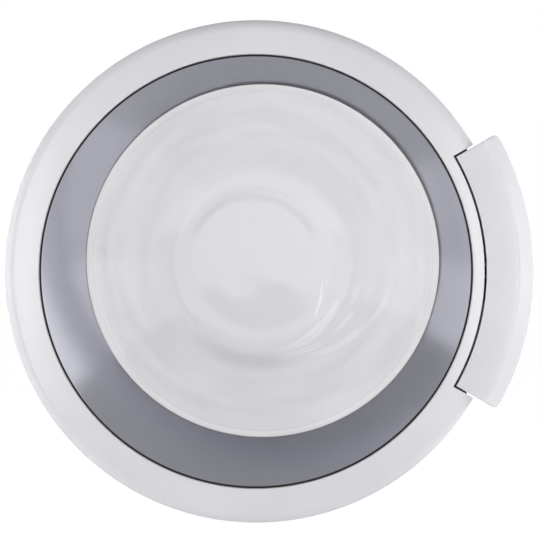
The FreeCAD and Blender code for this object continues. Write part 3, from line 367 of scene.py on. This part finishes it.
def pressed_glass(name):
    """Clear glass with slow waves and a thin film that changes how much light comes through: rings from
    pressing, and wiped streaks that fan out from under the nose towards the right. Painted light is mixed
    into the same colour: painted shading makes the glass lighter towards the right and the top, painted
    shade draws a dark arc along the top of the nose and another at its lower edge, and a painted highlight
    draws a bright band above the nose. The eased edge of the nose is scuffed."""
    material, place, output = new_finish(name)
    x, z, radius = from_axis(place, OPENING_X, OPENING_Z)
    angle = place.math("ARCTAN2", z, x)
    along = angle.between(-1.5, -0.2)
    across = place.math("DIVIDE", radius - 0.093, 0.004 + 0.028 * along)
    fan = place.node("CombineXYZ", {}, {"X": across, "Y": 0.3 * along, "Z": 0.0})
    window = angle.between(-1.5, -1.3) * (1 - angle.between(-0.5, -0.15))
    window = window * across.between(-1.2, -0.9) * (1 - across.between(0.9, 1.2))
    streaks = fan.noise(3.6, 2.0, 0.5).between(0.52, 0.60) * window
    round_place = place.node("CombineXYZ", {}, {
        "X": 60.0 * radius, "Y": place.math("COSINE", angle), "Z": place.math("SINE", angle)})
    rings = (round_place.noise(1.6, 2.0, 0.5) - 0.5) * radius.between(0.09, 0.13)
    # Painted shade and highlight: a dark arc along the top of the nose and a bright band just outside it.
    from_arc_middle = from_axis(place, OPENING_X - 9.6, OPENING_Z - 1.6)[2]
    above = z.between(0.02, 0.036)
    painted_dark_arc = above * from_arc_middle.near(0.065, 0.001, 0.006)
    painted_bright_band = above * from_arc_middle.between(0.072, 0.080) * (1 - from_arc_middle.between(0.084, 0.105))
    # Painted shade: a dark arc at the lower edge of the nose.
    painted_lower_arc = angle.near(-1.75, 0.1, 0.75) * radius.near(0.099, 0.001, 0.011)
    haze = place.noise(9.0, 3.0, 0.55).between(0.3, 0.7)
    # Painted shading: the glass lighter towards the right and the top.
    side = (x + 0.25 * z).between(-0.16, 0.12)
    light = 0.30 + 0.10 * haze + 0.22 * side + 0.75 * rings + 0.71 * streaks
    light = light - 0.42 * painted_lower_arc - 0.23 * painted_dark_arc + 0.23 * painted_bright_band
    scuffed = radius.near(0.083, 0.008, 0.016)
    clear = place.node("BsdfPrincipled", {}, {
        "Base Color": light.tint((0.620, 0.621, 0.642, 1.0), (0.900, 0.886, 0.915, 1.0)),
        "Roughness": 0.04 + 0.04 * haze + 0.10 * scuffed,
        "IOR": 1.5,
        "Transmission Weight": 1.0,
        "Normal": place.noise(16.0, 1.0).bump(0.3, 0.003)})
    film = place.node("BsdfPrincipled", {}, {
        "Base Color": haze.tint((0.88, 0.88, 0.89, 1.0), (0.93, 0.93, 0.94, 1.0)),
        "Roughness": 0.5 + 0.1 * haze})
    both = place.node("MixShader", {}, {0: 0.04 + 0.03 * haze, 1: clear, 2: film})
    both.cover(output)
    return material


bowl = add_piece(
    "glass_bowl_pressed", skin("glass_bowl_pressed", (glass_points, True)), pressed_glass("pressed_glass"),
    "glass", "door", "glass_bowl")


# Rear frame: the white moulding that closes the door behind. A plate carries a hub that clamps the
# glass flange, a wall behind the handle keeps fingers out of the latch, and openings are left for the
# hinge and the hook.

PLATE_EDGE = 224.0
PLATE_FRONT = 46.0
PLATE_BACK = 48.5
rear_outline = rounded([
    (PLATE_EDGE, PLATE_FRONT, 0.6), (PLATE_EDGE, PLATE_BACK, 0.6), (179.2, PLATE_BACK, 0.6),
    (179.2, 56.0, 1.2), (163.2, 56.0, 1.0), (163.2, 53.0, 0.4), (172.2, 53.0, 0.3),
    (172.2, PLATE_FRONT, 0.3)], 6)[None]
on_plate_edge = rear_outline[..., 0] > 200.0


def rear_columns(start, end, count, edge):
    """The rear frame's section from one angle to the next: the plate's edge runs about the ring's axis
    at a radius of its own, and the hub about the middle of the opening."""
    degrees = np.linspace(start, end, count)[:, None]
    radius = rear_outline[..., 0] + np.where(on_plate_edge, edge - PLATE_EDGE, 0.0)
    middle_x = np.where(on_plate_edge, 0.0, OPENING_X)
    middle_z = np.where(on_plate_edge, 0.0, OPENING_Z)
    return on_door(radius, rear_outline[..., 1], degrees, middle_x, middle_z)


# The plate is drawn in behind the grip. It comes out again on a slant at the lower end, because a
# straight step would fold over the faces that lead to the hub.
rear_points = np.concatenate([
    rear_columns(-29.5, 29.5, 49, 218.4),
    rear_columns(29.5, 329.95, 211, PLATE_EDGE)])
SHIELD_BACK = 47.2
shield_section = rounded([
    (218.2, 27.0, 0.7), (218.2, SHIELD_BACK, 0.2), (216.2, SHIELD_BACK, 0.2), (216.2, 27.0, 0.7)], 5)
shield_points = round_the_door(shield_section, (-29.3, 29.3, 49, SHIELD_BACK))


def cut_out(piece, *boxes):
    """Takes boxes, given as lowest and highest x, z and t, out of a piece."""
    cutter = bpy.data.objects.new("cutter", skin("cutter", *(block(*box) for box in boxes)))
    bpy.context.scene.collection.objects.link(cutter)
    openings = piece.modifiers.new("openings", "BOOLEAN")
    openings.solver = "EXACT"
    openings.use_self = True
    openings.object = cutter
    seen = piece.evaluated_get(bpy.context.evaluated_depsgraph_get())
    mesh = bpy.data.meshes.new_from_object(seen)
    mesh.name = piece.name
    mesh.validate()
    piece.modifiers.clear()
    piece.data = tidied(mesh)
    bpy.data.objects.remove(cutter)


def rear_moulded(name):
    """White moulding behind, and near black inside the door as painted shade, so that no gap shows light.
    """
    material, place, output = new_finish(name)
    # Painted shade: faces inside the door, in front of the plate's back, are near black.
    outside = place.axis("Y").between(-0.0059, -0.0055)
    flow = place.noise(9.0, 3.0).between(0.3, 0.7)
    fine = place.noise(900.0, 2.0)
    white = flow.tint(*shades((0.74, 0.737, 0.76), 0.03))
    inside_painted_shade = flow.tint(*shades((0.02, 0.02, 0.022), 0.2))
    shader = place.node("BsdfPrincipled", {}, {
        "Base Color": outside.tint(inside_painted_shade, white),
        "Roughness": 0.52 + 0.12 * (fine - 0.5) - 0.08 * outside,
        "IOR": 1.5,
        "Normal": fine.bump(0.4, 0.00006)})
    shader.cover(output)
    return material


rear = add_piece(
    "rear_moulded_frame",
    skin("rear_moulded_frame", (rear_points, True), (shield_points, False)),
    rear_moulded("rear_moulding"), "white_plastic", "door", "rear_frame")
hinge_window = (-240.0, -183.8, -53.0, 53.0, 40.0, 60.0)
hook_slot = (196.7, 212.0, -5.2, 5.2, 40.0, 52.0)
cut_out(rear, hinge_window, hook_slot)


# Screws: zinc-plated steel with hexagon washer heads. Six join the two frames, two hold the hinge leaf,
# two the latch carrier and two the lever in the grip, and all are driven from behind.

def metal(name, colour, roughness, drift, grain_scale, grain):
    """Bare metal: the colour and the gloss drift with patchy noise, and a grain roughens it."""
    material, place, output = new_finish(name)
    patches = place.noise(60.0, 4.0, 0.6)
    pits = place.noise(grain_scale, 3.0, 0.6)
    shader = place.node("BsdfPrincipled", {}, {
        "Base Color": patches.between(0.3, 0.7).tint(*shades(colour, drift)),
        "Metallic": 1.0,
        "Roughness": roughness + 0.25 * (patches - 0.5) + 0.15 * (pits - 0.5),
        "Normal": pits.bump(0.5, grain)})
    shader.cover(output)
    return material


def hexagon_screw(x, z, seat, corner, height, shank, length):
    """A screw about a line along y: rows of (r, t) from the shank's tip to the middle of the head. In the
    head's rows, r is the hexagon's a / cos(angle within a sixth of a turn), kept inside a circle."""
    degrees = np.linspace(0.0, 360.0, 49)[:-1, None]
    flat = 0.80 * corner
    hexagon = flat / np.cos(np.radians((degrees + 30.0) % 60.0 - 30.0))
    plain = np.ones_like(hexagon)
    rows = np.array([
        (0.0, seat - length), (shank * 0.55, seat - length), (shank, seat - length + 1.2), (shank, seat),
        (corner * 0.97, seat), (corner * 0.97, seat + 0.35), (corner * 0.9, seat + 0.55)])
    top = seat + height
    sides = np.concatenate([
        hexagon,
        hexagon,
        np.minimum(hexagon, flat * 1.06),
        plain * flat * 0.72,
        plain * flat * 0.62,
        plain * 0.0], axis=1)
    side_depths = np.array([seat + 0.55, top - 0.45, top - 0.05, top, top - 0.35, top - 0.4])
    radius = np.concatenate([plain * rows[:, 0], sides], axis=1)
    depth = np.concatenate([rows[:, 1], side_depths])[None, :]
    return on_door(radius, depth, degrees, x, z), True


def add_screws(name, places, sizes, body, node):
    """Like screws as one piece: one at each place, and all of the same sizes."""
    screws = [hexagon_screw(x, z, *sizes) for x, z in places]
    add_piece(name, skin(name, *screws), zinc, "steel", body, node)


zinc = metal("zinc_plating", (0.66, 0.66, 0.655), 0.34, 0.08, 900.0, 0.00002)
carrier_screw_places = [(203.75, 24.0), (203.75, -24.0)]
handle_screw_places = [(217.0, 28.0), (217.0, -28.0)]
add_screws("hex_frame_screws", frame_screw_places, (PLATE_BACK, 4.2, 2.3, 1.9, 18.0),
           "door", "frame_screws")
add_screws("hex_leaf_screws", leaf_screw_places, (17.0, 4.2, 2.0, 2.0, 11.0),
           "door", "hinge_leaf_screws")
add_screws("hex_carrier_screws", carrier_screw_places, (PLATE_BACK, 4.2, 2.3, 1.9, 8.5),
           "door", "carrier_screws")
add_screws("hex_handle_screws", handle_screw_places, (12.0, 3.3, 1.8, 1.5, 8.0),
           "handle", "handle_screws")


# Hinge: a die-cast plate screwed to the cabinet, with two goose-neck arms round the edge of the ring, a
# steel pin, plastic bushes and a die-cast leaf screwed to posts behind the ring's face.

def softened(name, node, width):
    """A solid's own surface with broken edges: doubles merged, flat triangles joined into faces, and a
    narrow bevel on every edge sharper than thirty degrees."""
    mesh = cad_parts[node].data.copy()
    mesh.name = name
    work = bmesh.new()
    work.from_mesh(mesh)
    bmesh.ops.remove_doubles(work, verts=work.verts, dist=2e-6)
    bmesh.ops.dissolve_limit(work, angle_limit=math.radians(0.5), verts=work.verts, edges=work.edges)
    sharp = [edge for edge in work.edges
             if len(edge.link_faces) == 2 and edge.calc_face_angle() > math.radians(30)]
    bmesh.ops.bevel(work, geom=sharp, offset=width / 1000, segments=2, profile=0.6, affect="EDGES",
                    clamp_overlap=True, loop_slide=True)
    work.to_mesh(mesh)
    work.free()
    mesh.shade_smooth()
    mesh.set_sharp_from_angle(angle=math.radians(50))
    return mesh


def upright(x, y, outline):
    """A turned piece about an upright line: points at (x + r cos a, y + r sin a, z) for its (r, z)."""
    angle = np.radians(np.linspace(0.0, 360.0, 49)[:-1])[:, None]
    r = outline[None, :, 0]
    return np.stack(np.broadcast_arrays(
        x + r * np.cos(angle), y + r * np.sin(angle), outline[None, :, 1]), axis=-1), True


def pin(name, node, body):
    """A plain steel pin with chamfered ends, where its solid is."""
    low, high = (np.array(corner) * 1000 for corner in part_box(node))
    x, y = (low[:2] + high[:2]) / 2
    radius = (high[1] - low[1]) / 2
    outline = rounded([
        (0.0, low[2], 0.0), (radius, low[2], 0.5), (radius, high[2], 0.5), (0.0, high[2], 0.0)], 4)
    add_piece(name, skin(name, upright(x, y, outline)), zinc, "steel", body, node)


die_cast = metal("die_cast", (0.58, 0.585, 0.60), 0.42, 0.07, 520.0, 0.00008)
add_piece("cast_bracket", softened("cast_bracket", "hinge_bracket", 0.7), die_cast, "cast_metal",
          "hinge", "hinge_bracket")
add_piece("cast_leaf", softened("cast_leaf", "hinge_leaf", 0.5), die_cast, "cast_metal",
          "door", "hinge_leaf")
pin("turned_hinge_pin", "hinge_pin", "hinge")
bush_moulding = moulded("bush_moulding", (0.70, 0.69, 0.64), 0.5, 0.03, 0.00005)
bush_outline = rounded([
    (3.05, 22.2, 0.2), (6.25, 22.2, 0.2), (6.25, 23.4, 0.2), (4.45, 23.4, 0.1), (4.45, 35.4, 0.2),
    (3.05, 35.4, 0.2)], 4)
for way, name, node in ((1, "bush_upper", "hinge_bush_upper"), (-1, "bush_lower", "hinge_bush_lower")):
    bush_points = upright(-15.0, -27.0, bush_outline * (1, way))
    add_piece(name, skin(name, bush_points), bush_moulding, "bush_plastic", "door", node)


# Handle: a white hollow grip beyond the notch, with a flat face and a flank that falls back to its
# outer edge. It is screwed to a dark lever that turns on a steel pin, and a spring holds it shut.

GRIP_END = 29.79
GRIP_INNER = 205.0
GRIP_OUTER = 249.0
GRIP_BACK = 21.0
GRIP_SKIN = 2.8
GRIP_CORNER = 6.0
GRIP_EASE = 1.4
grip_face = [
    (GRIP_INNER, 0.0, 1.2), (234.0, 0.0, 2.4), (GRIP_OUTER, 12.5, 3.5), (GRIP_OUTER, GRIP_BACK, 0.8)]
grip_hollow = [(246.4, GRIP_BACK, 0.4), (246.4, 13.9, 1.0), (232.9, GRIP_SKIN, 1.0)]
grip_section = rounded(grip_face + grip_hollow + [
    (207.6, GRIP_SKIN, 0.5), (207.6, GRIP_BACK, 0.4), (GRIP_INNER, GRIP_BACK, 0.6)])
grip_open_section = rounded(grip_face + grip_hollow + [
    (209.0, GRIP_SKIN, 0.5), (207.6, GRIP_SKIN, 0.2), (GRIP_INNER, GRIP_SKIN, 0.3)])
grip_end_section = rounded(grip_face + [
    (242.0, GRIP_BACK, 0.2), (235.0, GRIP_BACK, 0.2), (228.0, GRIP_BACK, 0.2), (220.0, GRIP_BACK, 0.2),
    (212.0, GRIP_BACK, 0.2), (GRIP_INNER, GRIP_BACK, 0.6)])
degree_at_edge = math.radians(GRIP_OUTER)


def grip_columns(section, degrees):
    """The grip's section at angles towards its ends: within d of an end, r stays inside the corner's
    quarter circle, and t behind an edge that is eased in another quarter circle."""
    degrees = degrees[:, None]
    d = (GRIP_END - np.abs(degrees)) * degree_at_edge
    corner = GRIP_CORNER - np.clip(d, 0.0, GRIP_CORNER)
    reach = GRIP_OUTER - GRIP_CORNER + np.sqrt(GRIP_CORNER ** 2 - corner ** 2)
    edge = GRIP_EASE - np.clip(d, 0.0, GRIP_EASE)
    front = GRIP_EASE - np.sqrt(GRIP_EASE ** 2 - edge ** 2)
    return on_door(np.minimum(section[None, :, 0], reach), np.maximum(section[None, :, 1], front), degrees)


end_wall = np.array([0.0, 0.04, 0.12, 0.25, 0.45, 0.7, 1.0, 1.4, 2.0, 2.6])
end_steps = GRIP_END - end_wall / degree_at_edge
lug_gap_end = 7.3
grip_run = np.linspace(lug_gap_end, end_steps[-1], 25)
grip_points = np.concatenate([
    grip_columns(grip_end_section, -end_steps),
    grip_columns(grip_section, -grip_run[::-1]),
    grip_columns(grip_open_section, np.linspace(-lug_gap_end, lug_gap_end, 17)),
    grip_columns(grip_section, grip_run),
    grip_columns(grip_end_section, end_steps[::-1])])
grip_posts = [block(x - 3.6, x + 3.6, z - 3.6, z + 3.6, 2.0, 9.0) for x, z in handle_screw_places]
add_piece("grip", skin("grip", (grip_points, False), *grip_posts), white_moulding, "white_plastic",
          "handle", "handle_grip")
dark_moulding = moulded("dark_moulding", (0.045, 0.045, 0.05), 0.5, 0.1, 0.00008)
add_piece("lever", softened("lever", "handle_lever", 0.4), dark_moulding, "dark_plastic",
          "handle", "handle_lever")
pin("turned_handle_pin", "handle_pin", "door")


def torsion_spring(name, node, radius, x, t, sense, first, last):
    """Round wire carried along a line: a straight leg, two turns and more of a helix of pitch 1.3 about
    the pin, and a straight leg, both legs off the helix at a tangent."""
    legs = np.array([first, last]) - (x, t)
    lean = np.arctan2(legs[:, 1], legs[:, 0])
    opening = np.arccos(radius / np.hypot(legs[:, 0], legs[:, 1]))
    begin = lean[0] + sense * opening[0]
    finish = lean[1] - sense * opening[1]
    sweep = (sense * (finish - begin)) % (2 * np.pi) + 4 * np.pi
    s = np.linspace(0.0, 1.0, 130)
    angle = begin + sense * sweep * s
    coil = np.column_stack([radius * np.cos(angle), radius * np.sin(angle), 1.3 * sweep / (2 * np.pi) * s])
    path = np.concatenate([[(*legs[0], 0.0)], coil, [(*legs[1], coil[-1, 2])]])
    along = np.gradient(path, axis=0)
    along /= np.linalg.norm(along, axis=1, keepdims=True)
    side = np.cross(along, (0.0, 0.0, 1.0))
    side /= np.linalg.norm(side, axis=1, keepdims=True)
    rise = np.cross(side, along)
    turn = np.linspace(0.0, 2 * np.pi, 13)[None, :-1, None]
    points = path[:, None] + 0.48 * (np.cos(turn) * side[:, None] + np.sin(turn) * rise[:, None])
    pin_place = np.array((DOOR_X + x, FRONT_Y + t, 5.9))
    spring = add_piece(name, skin(name, (points + pin_place, False)), spring_steel, "steel", None, node)
    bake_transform(spring)


spring_steel = metal("spring_steel", (0.42, 0.42, 0.43), 0.3, 0.08, 1200.0, 0.00001)
torsion_spring("wire_handle_spring", "handle_spring", 2.75, 199.8, 7.6, -1, (211.2, 8.3), (197.05, 17.5))


# Latch: a dark carrier screwed to the rear frame behind the notch holds a die-cast hook on a steel pin.
# The lever's finger tips the hook off its catch, and a spring turns it back.

add_piece("carrier", softened("carrier", "latch_carrier", 0.35), dark_moulding, "dark_plastic",
          "door", "latch_carrier")
add_piece("cast_hook", softened("cast_hook", "latch_hook", 0.5), die_cast, "cast_metal",
          "latch", "latch_hook")
pin("turned_latch_pin", "latch_pin", "door")
torsion_spring("wire_latch_spring", "latch_spring", 3.0, 205.5, 34.0, 1, (208.5, 26.6), (197.05, 38.5))


# Studio: a white room with a pale floor, in metres. A large soft lamp on each side and weaker ones in
# front and behind show in no mirror, two strips beside the camera show in the white mouldings, and in
# mirrors the ceiling and the floor below the door are grey. The camera is straight in front.

def seen_white(start):
    """1 on rays from the camera, a mirror or clear glass that no dull surface has scattered, and 0 on
    others."""
    seen = start.node("LightPath", {}, {}, "Is Camera Ray")
    mirrored = start.node("LightPath", {}, {}, "Is Glossy Ray")
    through = start.node("LightPath", {}, {}, "Is Transmission Ray")
    scattered = start.node("LightPath", {}, {}, "Diffuse Depth")
    straight = start.math("SUBTRACT", 1.0, scattered, clamp=True)
    return start.math("ADD", seen + mirrored, through, clamp=True) * straight


def in_mirrors(start):
    """1 on rays that a glossy surface has mirrored on their way, and 0 on others."""
    return start.math("MINIMUM", start.node("LightPath", {}, {}, "Glossy Depth"), 1.0)


WHITE = (1.0, 1.0, 1.0, 1.0)
world = bpy.data.worlds.new("white_room")
bpy.context.scene.world = world
world.use_nodes = True
world.node_tree.nodes.clear()
room = Wire(world.node_tree).node("TexCoord", {}, {}, "Object")
ceiling = (room.axis("Z") - 0.1 * room.axis("X")).between(0.43, 0.47)
room_shown = seen_white(room) * (1 + in_mirrors(room) * (0.45 - 1.25 * ceiling))
room_light = room.node("Background", {}, {"Color": WHITE, "Strength": 0.24 + 0.76 * room_shown})
room_light.cover(world.node_tree.nodes.new("ShaderNodeOutputWorld"))

FLOOR_Z = -0.42
floor_corners = [
    (-30.0, -30.0, FLOOR_Z), (30.0, -30.0, FLOOR_Z), (30.0, 30.0, FLOOR_Z), (-30.0, 30.0, FLOOR_Z)]
floor_mesh = bpy.data.meshes.new("floor")
floor_mesh.from_pydata(floor_corners, [], [(0, 1, 2, 3)])
floor = bpy.data.objects.new("floor", floor_mesh)
bpy.context.scene.collection.objects.link(floor)
floor_finish, floor_place, floor_output = new_finish("pale_floor")
matt = floor_place.node("BsdfDiffuse", {}, {
    "Color": floor_place.noise(3.0).tint((0.86, 0.86, 0.86, 1.0), (0.9, 0.9, 0.9, 1.0))})
lit = floor_place.node("Emission", {}, {"Color": WHITE, "Strength": 1.045})
grey_floor = floor_place.axis("X").near(0.05, 0.53, 0.57)
floor_shown = 0.94 * seen_white(floor_place) * (1 - in_mirrors(floor_place) * grey_floor)
floor_place.node("MixShader", {}, {0: floor_shown, 1: matt, 2: lit}).cover(floor_output)
floor_mesh.materials.append(floor_finish)

flagged = bpy.data.collections.new("flagged")
flagged.objects.link(bezel)
flagged.objects.link(bowl)
for shaded in flagged.collection_objects:
    shaded.light_linking.link_state = "EXCLUDE"
DOOR_MIDDLE = (0.2, -0.02, 0.0)


def soft_lamp(name, place, width, height, power, mirrored):
    """An area lamp that faces the middle of the door. One that is mirrored shows in the white pieces and
    is flagged off the bezel and the glass, and the others show in no reflection."""
    light = bpy.data.lights.new(name, "AREA")
    light.shape = "RECTANGLE"
    light.size = width
    light.size_y = height
    light.energy = power
    lamp = bpy.data.objects.new(name, light)
    back = np.array(place) - DOOR_MIDDLE
    turn = math.atan2(back[0], -back[1])
    tilt = math.atan2(math.hypot(back[0], back[1]), back[2])
    lamp.rotation_euler = (tilt, 0.0, turn)
    lamp.location = place
    lamp.visible_camera = False
    lamp.visible_glossy = mirrored
    lamp.visible_transmission = mirrored
    if mirrored:
        lamp.light_linking.receiver_collection = flagged
    bpy.context.scene.collection.objects.link(lamp)


soft_lamp("lamp_left", (-2.8, -0.40, 0.0), 1.4, 2.4, 62.0, False)
soft_lamp("lamp_right", (3.2, -0.40, 0.0), 1.4, 2.4, 62.0, False)
soft_lamp("strip_left", (-0.58, -1.5, 0.0), 0.25, 1.0, 5.5, True)
soft_lamp("strip_right", (0.98, -1.5, 0.0), 0.25, 1.0, 6.2, True)
soft_lamp("lamp_front", (0.2, -2.3, 0.0), 1.4, 1.4, 1.6, False)
soft_lamp("lamp_behind", (0.2, 1.5, 1.2), 1.6, 1.0, 16.0, False)

lens = bpy.data.cameras.new("front_camera")
lens.sensor_width = 36.0
lens.lens = 90.2
camera = bpy.data.objects.new("front_camera", lens)
camera.location = (0.2074, -1.252, 0.0012)
camera.rotation_euler = (math.pi / 2, 0.0, 0.0)
bpy.context.scene.collection.objects.link(camera)
bpy.context.scene.camera = camera
bpy.context.scene.view_settings.view_transform = "Standard"
